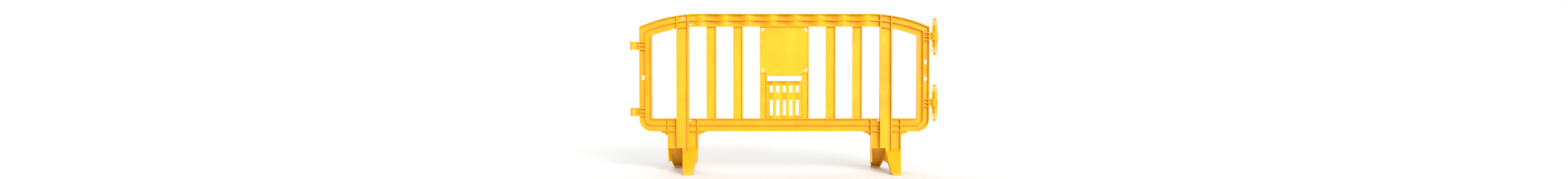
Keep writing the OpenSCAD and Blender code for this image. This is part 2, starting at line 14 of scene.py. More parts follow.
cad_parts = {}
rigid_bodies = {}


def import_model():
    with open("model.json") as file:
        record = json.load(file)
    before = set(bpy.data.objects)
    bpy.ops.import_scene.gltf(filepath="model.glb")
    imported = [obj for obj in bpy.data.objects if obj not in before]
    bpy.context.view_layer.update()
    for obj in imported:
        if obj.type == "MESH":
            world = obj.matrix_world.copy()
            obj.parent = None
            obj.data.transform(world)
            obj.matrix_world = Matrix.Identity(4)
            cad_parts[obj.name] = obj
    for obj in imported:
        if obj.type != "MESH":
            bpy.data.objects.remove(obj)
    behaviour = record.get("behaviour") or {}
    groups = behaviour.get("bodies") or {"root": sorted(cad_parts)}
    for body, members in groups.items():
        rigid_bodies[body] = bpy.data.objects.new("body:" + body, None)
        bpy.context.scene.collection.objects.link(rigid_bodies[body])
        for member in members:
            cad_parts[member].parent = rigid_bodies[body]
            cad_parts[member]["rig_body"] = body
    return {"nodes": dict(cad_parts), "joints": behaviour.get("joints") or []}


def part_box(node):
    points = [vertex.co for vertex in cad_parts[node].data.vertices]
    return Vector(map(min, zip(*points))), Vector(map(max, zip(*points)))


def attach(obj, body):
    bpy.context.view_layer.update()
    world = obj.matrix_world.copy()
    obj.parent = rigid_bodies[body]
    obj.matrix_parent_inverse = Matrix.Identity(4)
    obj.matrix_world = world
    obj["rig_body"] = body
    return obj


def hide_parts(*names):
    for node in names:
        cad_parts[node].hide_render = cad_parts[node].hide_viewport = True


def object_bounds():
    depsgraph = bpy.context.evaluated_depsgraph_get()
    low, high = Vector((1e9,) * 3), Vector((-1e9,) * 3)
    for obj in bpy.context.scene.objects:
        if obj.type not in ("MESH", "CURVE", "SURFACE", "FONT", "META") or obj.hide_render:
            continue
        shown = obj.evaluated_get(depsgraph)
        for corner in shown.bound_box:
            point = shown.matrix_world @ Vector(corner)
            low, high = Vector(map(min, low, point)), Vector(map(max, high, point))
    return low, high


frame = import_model()
cad_low, cad_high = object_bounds()

bl_info = {
    "name": "Pedestrian Barrier Panel",
    "version": (1, 0, 0),
    "blender": (4, 5, 0),
    "location": "View3D > Sidebar > Barrier",
    "description": "Moulds the rails, slats, grille, legs and couplings of a plastic barrier panel",
    "category": "Add Mesh",
}

BODY = "panel"
PIECE_PREFIX = "moulded_"

# Tolerances and steps of the mesh work, in metres and radians
MERGE = 1e-6
WELD = 1e-5
TOUCH = 5e-5
PROBE = 6e-4
FLAT_ANGLE = 0.002
SHARP_ANGLE = math.radians(28)
SMOOTH_ANGLE = math.radians(40)
RIM_STEP = 0.008
WAVE_STEP = 0.004
RAIL_STEP = 0.25
GRILLE_STEP = 0.002
CUTTER_DEPTH = 0.08
DRILL_DEPTH = 0.03
DRILL_SIDES = 48
EDGE_SEGMENTS = 3
WIDE_SEGMENTS = 5
ARC_STEPS = 4
SLOT_ARC_STEPS = 3
# A face of a rounded outer edge is narrower than this, and bends more than this on two sides
RUBBED_WIDTH = 0.0009
RUBBED_BEND = 0.1
# The rise of the normal of a foot's sloping top
FOOT_SLOPE = (0.5, 0.99)

# Real sizes of the marks in the plastic, in metres
FLOW_SIZE = 0.12
SCUFF_SIZE = 0.015
SATIN_SIZE = 0.04
SINK_SIZE = 0.18

FLOOR_HALF = 60.0
FLOOR_GAP = 0.0005
FLOOR_ROUGHNESS = 0.9
SENSOR_WIDTH = 36
VIEW_END = 500


def linear(code):
    """An sRGB hex colour as linear red, green and blue."""
    parts = [int(code[i:i + 2], 16) / 255 for i in (1, 3, 5)]
    return tuple(p / 12.92 if p <= 0.04045 else ((p + 0.055) / 1.055) ** 2.4 for p in parts)


def length(name, description, default):
    """A length property, in metres."""
    return bpy.props.FloatProperty(
        name=name, description=description, default=default, min=0, precision=4,
        unit="LENGTH", subtype="DISTANCE")


def angle(name, description, degrees):
    """An angle property, given in degrees."""
    return bpy.props.FloatProperty(
        name=name, description=description, default=math.radians(degrees), unit="ROTATION")


def brightness(name, description, default):
    """A light's strength as a property."""
    return bpy.props.FloatProperty(name=name, description=description, default=default, min=0)


def colour(name, description, code):
    """A colour property, given as an sRGB hex value."""
    return bpy.props.FloatVectorProperty(
        name=name, description=description, default=linear(code), size=3, min=0, max=1, subtype="COLOR")


class BarrierMoulding(bpy.types.PropertyGroup):
    """Sizes of the moulding's walls, edges and waves"""

    web: length("Web", "Thickness of the flat and wavy webs", 0.0045)
    rib: length("Rib", "Thickness of the rails' ribs", 0.005)
    top_rail: length("Top rail", "Height of the top rail's section", 0.082)
    flange: length("Flange", "Thickness of the flanges of slats and bars", 0.0045)
    edge: length("Edge", "Radius of the outer edges", 0.0012)
    fillet: length("Fillet", "Radius of the inner corners where a rib meets its web", 0.0025)
    foot_edge: length("Foot edge", "Radius round the top of a foot", 0.0055)
    pin_edge: length("Pin edge", "Radius of the edges of pins and barbs", 0.0006)
    wave_len: length("Wave", "Length of one wave of the top rail's web", 0.152)
    wave_swing: length("Wave swing", "Swing of that web to each side", 0.014)
    wave_end: length("Wave end", "Distance from the middle at which the waves end", 0.570)
    arch_start: length("Arch start", "Distance from the middle at which the top rail starts to fall", 0.544)
    arch_radius: length("Arch radius", "Radius of the top rail's fall", 0.94)
    hole: length("Banner hole", "Radius of the holes in the top rail's web", 0.006)
    hole_inset: length("Hole inset", "Distance of those holes from the rail's end", 0.009)
    hole_rise: length("Hole rise", "Height of those holes above the rail's underside", 0.013)
    grille_pitch: length("Grille pitch", "Distance from one slot of the grille to the next", 0.0416)
    grille_swing: length("Grille swing", "Swing of the grille to each side", 0.008)
    slot_w: length("Slot width", "Width of the grille's slots", 0.02)
    slot_corner: length("Slot corner", "Radius of the slots' corners", 0.002)
    upper_slot: length("Upper slot", "Height of the grille's upper slots", 0.0435)
    lower_slot: length("Lower slot", "Height of the grille's lower slots", 0.1)
    grille_head: length("Head", "Height of plain grille above the upper slots", 0.0305)
    grille_sill: length("Sill", "Height of plain grille below the lower slots", 0.0185)
    grille_columns: bpy.props.IntProperty(
        name="Columns", description="Number of slots in a row of the grille", default=5, min=1)


class BarrierFinish(bpy.types.PropertyGroup):
    """Colours and gloss of the plastic"""

    plastic: colour("Plastic", "Colour of the plastic as moulded", "#EBAF12")
    flow: colour("Flow marks", "Colour in the faint flow marks of the moulding", "#D28D03")
    scuff: colour("Scuffs", "Colour of rubbed edges", "#EAB83C")
    roughness: bpy.props.FloatProperty(
        name="Roughness", description="Roughness of the satin surface", default=0.5, min=0, max=1,
        subtype="FACTOR")
    grain: length("Grain", "Size of the mould's fine grain", 0.0022)


class BarrierStage(bpy.types.PropertyGroup):
    """Floor, lights and camera"""

    floor: colour("Floor", "Colour of the floor", "#D2D2D1")
    sky: brightness("Surround", "Brightness of the white surround", 1.0)
    key: brightness("Key light", "Strength of the key light", 3.7)
    key_turn: angle("Key turn", "Angle of the key light to the right", 24)
    key_rise: angle("Key rise", "Angle of the key light above the floor", 20)
    key_spread: angle("Key spread", "Width of the key light, as an angle", 36)
    fill: brightness("Fill light", "Strength of the fill light behind the panel", 1.0)
    fill_turn: angle("Fill turn", "Angle of the fill light to the right", 200)
    fill_rise: angle("Fill rise", "Angle of the fill light above the floor", 30)
    fill_spread: angle("Fill spread", "Width of the fill light, as an angle", 60)
    lens: bpy.props.FloatProperty(
        name="Lens", description="Focal length of the camera", default=25.6, min=1, unit="CAMERA")
    place: bpy.props.FloatVectorProperty(
        name="Camera", description="Place of the camera", default=(-0.002, -7.168, 0.781),
        subtype="XYZ", unit="LENGTH")
    tilt: angle("Tilt", "Tilt of the camera below the level", 2.05)


class BarrierSettings(bpy.types.PropertyGroup):
    """Everything that a user may change"""

    moulding: bpy.props.PointerProperty(type=BarrierMoulding)
    finish: bpy.props.PointerProperty(type=BarrierFinish)
    stage: bpy.props.PointerProperty(type=BarrierStage)


def add(tree, kind, inputs=None, **settings):
    """Adds a node with its settings, and sets or links its inputs by name or number."""
    node = tree.nodes.new(kind)
    for key, value in settings.items():
        setattr(node, key, value)
    for key, value in (inputs or {}).items():
        if isinstance(value, bpy.types.NodeSocket):
            tree.links.new(value, node.inputs[key])
        else:
            node.inputs[key].default_value = value
    return node


# Material


def polyethylene():
    """Injection-moulded high-density polyethylene, coloured through, from a spark-eroded mould.

    The eye gets a satin sheen with a fine grain, faint flow marks a hand wide and paler rubbed edges.
    """
    name = "yellow_polyethylene"
    if name in bpy.data.materials:
        return bpy.data.materials[name]
    finish = bpy.context.scene.barrier.finish
    material = bpy.data.materials.new(name)
    material.use_nodes = True
    tree = material.node_tree
    tree.nodes.clear()
    place = add(tree, "ShaderNodeTexCoord").outputs["Object"]
    # Flow marks, about a hand across
    flow = add(tree, "ShaderNodeTexNoise", {
        "Vector": place, "Scale": 1 / FLOW_SIZE, "Detail": 3.0, "Roughness": 0.55})
    base = add(tree, "ShaderNodeMix", {
        "Factor": flow.outputs[0], 6: (*finish.plastic, 1), 7: (*finish.flow, 1)}, data_type="RGBA")
    # Scuffs, which break up along the rounded edges
    rub = add(tree, "ShaderNodeTexNoise", {
        "Vector": place, "Scale": 1 / SCUFF_SIZE, "Detail": 4.0, "Roughness": 0.6})
    patch = add(tree, "ShaderNodeMapRange", {
        "Value": rub.outputs[0], "From Min": 0.4, "From Max": 0.66, "To Min": 0.05, "To Max": 0.7})
    edge = add(tree, "ShaderNodeAttribute", attribute_name="rubbed_edge")
    wear = add(tree, "ShaderNodeMath", {0: edge.outputs["Fac"], 1: patch.outputs["Result"]},
               operation="MULTIPLY")
    tone = add(tree, "ShaderNodeMix", {
        "Factor": wear.outputs[0], 6: base.outputs[2], 7: (*finish.scuff, 1)}, data_type="RGBA")
    # Patches of more and less sheen
    satin = add(tree, "ShaderNodeTexNoise", {"Vector": place, "Scale": 1 / SATIN_SIZE, "Detail": 2.0})
    gloss = add(tree, "ShaderNodeMapRange", {
        "Value": satin.outputs[0], "From Min": 0.3, "From Max": 0.7,
        "To Min": finish.roughness - 0.08, "To Max": finish.roughness + 0.08})
    rough = add(tree, "ShaderNodeMath", {0: wear.outputs[0], 1: 0.15, 2: gloss.outputs["Result"]},
                operation="MULTIPLY_ADD")
    # The real grain is about 0.5 mm, and is drawn four times as coarse so that close views show it
    grain = add(tree, "ShaderNodeTexNoise", {"Vector": place, "Scale": 1 / finish.grain, "Detail": 2.0})
    fine = add(tree, "ShaderNodeBump", {"Height": grain.outputs[0], "Strength": 0.35, "Distance": 0.0004})
    # Long shallow sink marks
    sink = add(tree, "ShaderNodeTexNoise", {"Vector": place, "Scale": 1 / SINK_SIZE, "Detail": 1.0})
    bump = add(tree, "ShaderNodeBump", {
        "Height": sink.outputs[0], "Normal": fine.outputs["Normal"], "Strength": 0.2, "Distance": 0.004})
    shader = add(tree, "ShaderNodeBsdfPrincipled", {
        "Base Color": tone.outputs[2], "Roughness": rough.outputs[0], "Normal": bump.outputs["Normal"],
        "IOR": 1.54, "Specular IOR Level": 0.2})
    add(tree, "ShaderNodeOutputMaterial", {"Surface": shader.outputs["BSDF"]})
    return material


# Outlines and plain meshes


def rounded(corners, edge, fillet):
    """A closed outline of right-angled corners, given anticlockwise, with its corners turned into arcs."""
    outline = []
    for i, corner in enumerate(corners):
        here = Vector(corner)
        back = (Vector(corners[i - 1]) - here).normalized()
        ahead = (Vector(corners[(i + 1) % len(corners)]) - here).normalized()
        radius = edge if back.cross(ahead) < 0 else fillet
        centre = here + (back + ahead) * radius
        for k in range(ARC_STEPS + 1):
            turn = math.pi / 2 * k / ARC_STEPS
            outline.append(centre - (ahead * math.cos(turn) + back * math.sin(turn)) * radius)
    return outline


def comb_section(height, depth, m):
    """A rail's section: a web on the middle plane and three ribs that reach to both faces."""
    half, web = depth / 2, m.web / 2
    levels = [0, (height - m.rib) / 2, height - m.rib]
    right = []
    for z in levels:
        low, high = z - height / 2, z + m.rib - height / 2
        right += [(web, low), (half, low), (half, high), (web, high)]
    right = right[1:-1]
    left = [(-y, z) for y, z in reversed(right)]
    return rounded(right + left, m.edge, m.fillet)


def channel_section(width, depth, m):
    """A slat's plan: a web between two flanges."""
    x, inner, y, web = width / 2, width / 2 - m.flange, depth / 2, m.web / 2
    quarter = [(x, y), (inner, y), (inner, web)]
    corners = quarter + [(-a, b) for a, b in reversed(quarter)]
    corners += [(-a, -b) for a, b in quarter] + [(a, -b) for a, b in reversed(quarter)]
    return rounded(corners, m.edge, m.fillet)


def link(obj):
    """Puts an object in the scene."""
    bpy.context.scene.collection.objects.link(obj)
    return obj


def section_object(name, outline):
    """An outline as a closed curve, for a tree to sweep."""
    curve = bpy.data.curves.new(name, "CURVE")
    curve.dimensions = "3D"
    spline = curve.splines.new("POLY")
    spline.points.add(len(outline) - 1)
    for point, place in zip(spline.points, outline):
        point.co = (place[0], place[1], 0, 1)
    spline.use_cyclic_u = True
    return link(bpy.data.objects.new(name, curve))


def drop(obj):
    """Removes a helper object and its data."""
    data = obj.data
    bpy.data.objects.remove(obj)
    bpy.data.batch_remove([data])


def point_object(name, points, edges=()):
    """Points, joined by edges where they make a path, for a tree to work on."""
    mesh = bpy.data.meshes.new(name)
    mesh.from_pydata([tuple(p) for p in points], list(edges), [])
    return link(bpy.data.objects.new(name, mesh))


def straight_path(ends, step):
    """Points and edges of straight stretches, each cut into pieces of about the given length."""
    points, edges = [], []
    for start, end in ends:
        count = max(1, round((end - start).length / step))
        first = len(points)
        points += [start.lerp(end, i / count) for i in range(count + 1)]
        edges += [(first + i, first + i + 1) for i in range(count)]
    return points, edges


# Node trees


def new_tree(name, inputs):
    """A geometry tree with named inputs: the tree, its input node and the inputs' identifiers."""
    tree = bpy.data.node_groups.new(name, "GeometryNodeTree")
    tree.interface.new_socket("Geometry", in_out="INPUT", socket_type="NodeSocketGeometry")
    tree.interface.new_socket("Geometry", in_out="OUTPUT", socket_type="NodeSocketGeometry")
    for label, kind in inputs.items():
        tree.interface.new_socket(label, in_out="INPUT", socket_type="NodeSocket" + kind)
    return tree, add(tree, "NodeGroupInput").outputs


def end_tree(tree, geometry, material):
    """Closes a tree with real geometry and its material."""
    real = add(tree, "GeometryNodeRealizeInstances", {"Geometry": geometry})
    dressed = add(tree, "GeometryNodeSetMaterial", {"Geometry": real.outputs[0], "Material": material})
    add(tree, "NodeGroupOutput", {"Geometry": dressed.outputs[0]})


def ribbed_rail_tree():
    """Sweeps a section along a path; the web may swing in waves and the rail may fall towards its ends."""
    name = "ribbed_rail"
    if name in bpy.data.node_groups:
        return bpy.data.node_groups[name]
    tree, given = new_tree(name, {
        "Section": "Object", "Wave Length": "Float", "Wave Swing": "Float", "Wave End": "Float",
        "Web Reach": "Float", "Arch Start": "Float", "Arch Radius": "Float", "Material": "Material"})
    path = add(tree, "GeometryNodeMeshToCurve", {"Mesh": given["Geometry"]})
    upright = add(tree, "GeometryNodeSetCurveNormal", {"Curve": path.outputs[0]}, mode="Z_UP")
    section = add(tree, "GeometryNodeObjectInfo", {"Object": given["Section"]})
    rail = add(tree, "GeometryNodeCurveToMesh", {
        "Curve": upright.outputs[0], "Profile Curve": section.outputs["Geometry"], "Fill Caps": True})
    place = add(tree, "ShaderNodeSeparateXYZ", {0: add(tree, "GeometryNodeInputPosition").outputs[0]})
    away = add(tree, "ShaderNodeMath", {0: place.outputs["X"]}, operation="ABSOLUTE").outputs[0]
    depth = add(tree, "ShaderNodeMath", {0: place.outputs["Y"]}, operation="ABSOLUTE").outputs[0]
    turns = add(tree, "ShaderNodeMath", {0: place.outputs["X"], 1: given["Wave Length"]},
                operation="DIVIDE")
    phase = add(tree, "ShaderNodeMath", {0: turns.outputs[0], 1: 2 * math.pi}, operation="MULTIPLY")
    wave = add(tree, "ShaderNodeMath", {0: phase.outputs[0]}, operation="COSINE")
    swing = add(tree, "ShaderNodeMath", {0: wave.outputs[0], 1: given["Wave Swing"]}, operation="MULTIPLY")
    in_web = add(tree, "ShaderNodeMath", {0: depth, 1: given["Web Reach"]}, operation="LESS_THAN")
    in_wave = add(tree, "ShaderNodeMath", {0: away, 1: given["Wave End"]}, operation="LESS_THAN")
    moves = add(tree, "ShaderNodeMath", {0: in_web.outputs[0], 1: in_wave.outputs[0]}, operation="MULTIPLY")
    shift = add(tree, "ShaderNodeMath", {0: swing.outputs[0], 1: moves.outputs[0]}, operation="MULTIPLY")
    past = add(tree, "ShaderNodeMath", {0: away, 1: given["Arch Start"]},
               operation="SUBTRACT", use_clamp=True)
    square = add(tree, "ShaderNodeMath", {0: past.outputs[0], 1: 2.0}, operation="POWER")
    fall = add(tree, "ShaderNodeMath", {0: square.outputs[0], 1: given["Arch Radius"]}, operation="DIVIDE")
    drop = add(tree, "ShaderNodeMath", {0: fall.outputs[0], 1: -0.5}, operation="MULTIPLY")
    offset = add(tree, "ShaderNodeCombineXYZ", {"Y": shift.outputs[0], "Z": drop.outputs[0]})
    shaped = add(tree, "GeometryNodeSetPosition", {
        "Geometry": rail.outputs[0], "Offset": offset.outputs[0]})
    end_tree(tree, shaped.outputs[0], given["Material"])
    return tree


def channel_tree():
    """Stands a channel of the given section and height on each point."""
    name = "standing_channels"
    if name in bpy.data.node_groups:
        return bpy.data.node_groups[name]
    tree, given = new_tree(name, {"Section": "Object", "Height": "Float", "Material": "Material"})
    top = add(tree, "ShaderNodeCombineXYZ", {"Z": given["Height"]})
    rise = add(tree, "GeometryNodeCurvePrimitiveLine", {"Start": (0, 0, 0), "End": top.outputs[0]})
    section = add(tree, "GeometryNodeObjectInfo", {"Object": given["Section"]})
    channel = add(tree, "GeometryNodeCurveToMesh", {
        "Curve": rise.outputs[0], "Profile Curve": section.outputs["Geometry"], "Fill Caps": True})
    stood = add(tree, "GeometryNodeInstanceOnPoints", {
        "Points": given["Geometry"], "Instance": channel.outputs[0]})
    end_tree(tree, stood.outputs[0], given["Material"])
    return tree


def grille_tree():
    """Bends a plate into waves along its path and cuts two rows of round-cornered slots through it."""
    name = "slotted_grille"
    if name in bpy.data.node_groups:
        return bpy.data.node_groups[name]
    tree, given = new_tree(name, {
        "Height": "Float", "Thickness": "Float", "Edge": "Float", "Pitch": "Float", "Swing": "Float",
        "Columns": "Int", "Slot Width": "Float", "Slot Corner": "Float", "Upper Height": "Float",
        "Upper Middle": "Float", "Lower Height": "Float", "Lower Middle": "Float", "Material": "Material"})
    place = add(tree, "ShaderNodeSeparateXYZ", {0: add(tree, "GeometryNodeInputPosition").outputs[0]})
    # A crest lies half a pitch from each slot's middle, so that the slots sit on the slopes
    turns = add(tree, "ShaderNodeMath", {0: place.outputs["X"], 1: given["Pitch"]}, operation="DIVIDE")
    phase = add(tree, "ShaderNodeMath", {0: turns.outputs[0], 1: math.pi, 2: -math.pi / 2},
                operation="MULTIPLY_ADD")
    wave = add(tree, "ShaderNodeMath", {0: phase.outputs[0]}, operation="COSINE")
    shift = add(tree, "ShaderNodeMath", {0: wave.outputs[0], 1: given["Swing"]}, operation="MULTIPLY")
    back = add(tree, "ShaderNodeMath", {0: shift.outputs[0], 1: -1.0}, operation="MULTIPLY")
    offset = add(tree, "ShaderNodeCombineXYZ", {"Y": back.outputs[0]})
    bent = add(tree, "GeometryNodeSetPosition", {
        "Geometry": given["Geometry"], "Offset": offset.outputs[0]})
    path = add(tree, "GeometryNodeMeshToCurve", {"Mesh": bent.outputs[0]})
    upright = add(tree, "GeometryNodeSetCurveNormal", {"Curve": path.outputs[0]}, mode="Z_UP")
    blank = add(tree, "GeometryNodeCurvePrimitiveQuadrilateral", {
        "Width": given["Thickness"], "Height": given["Height"]})
    soft = add(tree, "GeometryNodeFilletCurve", {
        "Curve": blank.outputs[0], "Radius": given["Edge"], "Limit Radius": True, "Count": ARC_STEPS},
        mode="POLY")
    plate = add(tree, "GeometryNodeCurveToMesh", {
        "Curve": upright.outputs[0], "Profile Curve": soft.outputs[0], "Fill Caps": True})
    last = add(tree, "ShaderNodeMath", {0: given["Columns"], 1: -1.0}, operation="ADD")
    span = add(tree, "ShaderNodeMath", {0: last.outputs[0], 1: given["Pitch"]}, operation="MULTIPLY")
    start = add(tree, "ShaderNodeMath", {0: span.outputs[0], 1: -0.5}, operation="MULTIPLY")
    across = add(tree, "ShaderNodeCombineXYZ", {"X": given["Pitch"]})
    rows = []
    for row in ("Upper", "Lower"):
        outline = add(tree, "GeometryNodeCurvePrimitiveQuadrilateral", {
            "Width": given["Slot Width"], "Height": given[row + " Height"]})
        corners = add(tree, "GeometryNodeFilletCurve", {
            "Curve": outline.outputs[0], "Radius": given["Slot Corner"], "Limit Radius": True,
            "Count": SLOT_ARC_STEPS}, mode="POLY")
        face = add(tree, "GeometryNodeFillCurve", {"Curve": corners.outputs[0]})
        deep = add(tree, "GeometryNodeExtrudeMesh", {
            "Mesh": face.outputs[0], "Offset": (0, 0, CUTTER_DEPTH), "Offset Scale": 1.0,
            "Individual": False})
        floor = add(tree, "GeometryNodeFlipFaces", {"Mesh": face.outputs[0]})
        shell = add(tree, "GeometryNodeJoinGeometry")
        for part in (deep, floor):
            tree.links.new(part.outputs[0], shell.inputs[0])
        closed = add(tree, "GeometryNodeMergeByDistance", {"Geometry": shell.outputs[0], "Distance": WELD})
        turned = add(tree, "GeometryNodeTransform", {
            "Geometry": closed.outputs[0], "Translation": (0, CUTTER_DEPTH / 2, 0),
            "Rotation": (math.pi / 2, 0, 0)})
        origin = add(tree, "ShaderNodeCombineXYZ", {"X": start.outputs[0], "Z": given[row + " Middle"]})
        line = add(tree, "GeometryNodeMeshLine", {
            "Count": given["Columns"], "Start Location": origin.outputs[0], "Offset": across.outputs[0]})
        rows.append(add(tree, "GeometryNodeInstanceOnPoints", {
            "Points": line.outputs[0], "Instance": turned.outputs[0]}))
    cutters = add(tree, "GeometryNodeJoinGeometry")
    for row in rows:
        tree.links.new(row.outputs[0], cutters.inputs[0])
    tools = add(tree, "GeometryNodeRealizeInstances", {"Geometry": cutters.outputs[0]})
    cut = add(tree, "GeometryNodeMeshBoolean", {"Mesh 1": plate.outputs[0], "Mesh 2": tools.outputs[0]},
              operation="DIFFERENCE")
    end_tree(tree, cut.outputs[0], given["Material"])
    return tree


def grow(obj, tree, **values):
    """Runs a tree on an object and keeps the result as its plain mesh."""
    modifier = obj.modifiers.new(tree.name, "NODES")
    modifier.node_group = tree
    wanted = {label.replace("_", " ").title(): value for label, value in values.items()}
    for item in tree.interface.items_tree:
        if item.item_type == "SOCKET" and item.in_out == "INPUT" and item.name in wanted:
            modifier[item.identifier] = wanted.pop(item.name)
    if wanted:
        raise RuntimeError(f"{tree.name} has no inputs named {sorted(wanted)}")
    bpy.context.view_layer.update()
    shown = obj.evaluated_get(bpy.context.evaluated_depsgraph_get())
    mesh = bpy.data.meshes.new_from_object(shown)
    obj.modifiers.remove(modifier)
    old, obj.data = obj.data, mesh
    bpy.data.meshes.remove(old)
    if not mesh.polygons:
        raise RuntimeError(f"{tree.name} made nothing for {obj.name}")
    bm = bmesh.new()
    bm.from_mesh(mesh)
    bmesh.ops.remove_doubles(bm, verts=bm.verts, dist=MERGE)
    bmesh.ops.recalc_face_normals(bm, faces=bm.faces)
    bm.to_mesh(mesh)
    bm.free()
    return obj


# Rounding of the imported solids


def neighbours(node):
    """Search trees of the other solids of a node's body that come near it."""
    low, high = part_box(node)
    body = frame["nodes"][node]["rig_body"]
    found = []
    for other, obj in frame["nodes"].items():
        if other == node or obj["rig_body"] != body:
            continue
        other_low, other_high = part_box(other)
        if all(other_low[i] < high[i] + PROBE and other_high[i] > low[i] - PROBE for i in range(3)):
            corners = [v.co for v in obj.data.vertices]
            found.append(BVHTree.FromPolygons(corners, [p.vertices for p in obj.data.polygons]))
    return found


def is_free(edge, trees):
    """True where neither of an edge's faces lies against another solid beside the edge's middle."""
    middle = (edge.verts[0].co + edge.verts[1].co) / 2
    for corner in edge.link_loops:
        along = (corner.link_loop_next.vert.co - corner.vert.co).normalized()
        probe = middle + corner.face.normal.cross(along) * PROBE
        if any(tree.find_nearest(probe, TOUCH)[0] is not None for tree in trees):
            return False
    return True


def groups_across(faces, passes):
    """The faces in groups, each of them reached across the edges that a test lets through."""
    seen = set()
    groups = []
    for first in faces:
        if first in seen:
            continue
        seen.add(first)
        group, ahead = [first], [first]
        while ahead:
            for edge in ahead.pop().edges:
                for face in edge.link_faces if passes(edge) else ():
                    if face not in seen:
                        seen.add(face)
                        group.append(face)
                        ahead.append(face)
        groups.append(group)
    return groups


def is_flat(edge):
    """True where an edge's two faces lie in one plane."""
    return edge.calc_face_angle(math.pi) < FLAT_ANGLE


def rim_of(faces):
    """The edges round some faces, and the loops of corners that these make, the widest loop first."""
    inside = set(faces)
    rim = {e for f in faces for e in f.edges if sum(1 for g in e.link_faces if g in inside) == 1}
    seen = set()
    loops = []
    for start in sorted({v for e in rim for v in e.verts}, key=lambda v: v.index):
        if start in seen:
            continue
        seen.add(start)
        loop, ahead = [start], [start]
        while ahead:
            for edge in ahead.pop().link_edges:
                for v in edge.verts if edge in rim else ():
                    if v not in seen:
                        seen.add(v)
                        loop.append(v)
                        ahead.append(v)
        loops.append(loop)
    loops.sort(key=lambda loop: max((v.co - loop[0].co).length for v in loop), reverse=True)
    return rim, loops


def even_triangles(bm, flat, rim):
    """Cuts a flat face with holes into triangles of even size, with corners all along its rims."""
    bm.edges.index_update()
    for edge in sorted(rim, key=lambda e: e.index):
        corner = edge.verts[0]
        for left in range(round(edge.calc_length() / RIM_STEP), 1, -1):
            corner = bmesh.utils.edge_split(edge, corner, 1 / left)[1]
    made = bmesh.ops.triangulate(bm, faces=flat, quad_method="BEAUTY", ngon_method="BEAUTY")["faces"]
    inside = set(flat) | set(made)
    bm.edges.index_update()
    inner = [e for e in bm.edges if len(e.link_faces) == 2 and inside.issuperset(e.link_faces)]
    bmesh.ops.beautify_fill(bm, faces=[f for f in bm.faces if f in inside], edges=inner, method="AREA")


def merge_flat(bm, even):
    """Joins the triangles of each flat face into one, or evens them out, if asked, where it has holes."""
    bm.verts.index_update()
    for flat in groups_across(bm.faces, is_flat):
        rim, loops = rim_of(flat)
        plain = all(sum(1 for e in v.link_edges if e in rim) == 2 for v in loops[0])
        if len(loops) > 1 and even:
            even_triangles(bm, flat, rim)
        elif len(loops) == 1 and len(flat) > 1 and plain:
            bmesh.ops.dissolve_faces(bm, faces=flat, use_verts=False)


def narrow_faces(bm, radius):
    """The faces of flat strips that are too narrow for a radius."""
    narrow = set()
    for flat in groups_across(bm.faces, is_flat):
        corners = [v.co for f in flat for v in f.verts]
        reach = max((corner - corners[0]).length for corner in corners)
        if sum(f.calc_area() for f in flat) < radius * reach:
            narrow.update(flat)
    return narrow


def even_normals(mesh):
    """Sets the shading so that flat faces stay flat and rounded edges run smoothly into them."""
    bm = bmesh.new()
    bm.from_mesh(mesh)
    weights = {}
    for flat in groups_across(bm.faces, is_flat):
        weight = sum(f.calc_area() for f in flat) ** 2
        weights.update((f.index, weight) for f in flat)
    near = math.cos(SMOOTH_ANGLE)
    normals = []
    for face in bm.faces:
        for corner in face.loops:
            around = [f for f in corner.vert.link_faces if f.normal.dot(face.normal) > near]
            total = sum((f.normal * weights[f.index] for f in around), Vector())
            normals.append(total.normalized() if around else face.normal.copy())
    bm.free()
    mesh.normals_split_custom_set(normals)


def sharp_edges(bm, trees, chosen=None):
    """The sharp edges that are free, and that the chosen test lets through."""
    return [e for e in bm.edges if e.is_manifold and e.calc_face_angle(0) > SHARP_ANGLE
            and (chosen is None or chosen(e)) and is_free(e, trees)]


def round_off(bm, edges, radius, segments):
    """Rounds edges to a radius, outer ones and inner ones alike."""
    if edges:
        bmesh.ops.bevel(bm, geom=edges, offset=radius, offset_type="OFFSET", segments=segments, profile=0.5,
                        affect="EDGES", clamp_overlap=False, loop_slide=True)


def soften(node, radius, inner=True, fine=True, wide=0.0, wide_edges=None):
    """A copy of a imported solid, without sealed pockets, with its free edges rounded, some of them wider.

    Inner corners can be left sharp, with edges shorter than the radius, and so can edges of narrow faces.
    """
    bm = bmesh.new()
    bm.from_mesh(frame["nodes"][node].data)
    bmesh.ops.remove_doubles(bm, verts=bm.verts, dist=MERGE)
    shells = sorted(groups_across(bm.faces, lambda edge: True), key=len)
    pockets = [face for shell in shells[:-1] for face in shell]
    bmesh.ops.delete(bm, geom=pockets, context="FACES")
    merge_flat(bm, inner)
    trees = neighbours(node)
    if wide_edges:
        round_off(bm, sharp_edges(bm, trees, wide_edges), wide, WIDE_SEGMENTS)
    narrow = set() if fine else narrow_faces(bm, radius)
    edges = [e for e in sharp_edges(bm, trees) if narrow.isdisjoint(e.link_faces)
             and (inner or (e.is_convex and e.calc_length() > radius))]
    round_off(bm, edges, radius, EDGE_SEGMENTS)
    bmesh.ops.dissolve_degenerate(bm, dist=MERGE, edges=bm.edges)
    mesh = bpy.data.meshes.new(PIECE_PREFIX + node)
    bm.to_mesh(mesh)
    bm.free()
    return link(bpy.data.objects.new(PIECE_PREFIX + node, mesh))


def on_foot_top(edge):
    """True for the outer edges round a foot's sloping top."""
    low, high = FOOT_SLOPE
    return edge.calc_face_angle_signed(0) > 0 and any(low < f.normal.z < high for f in edge.link_faces)


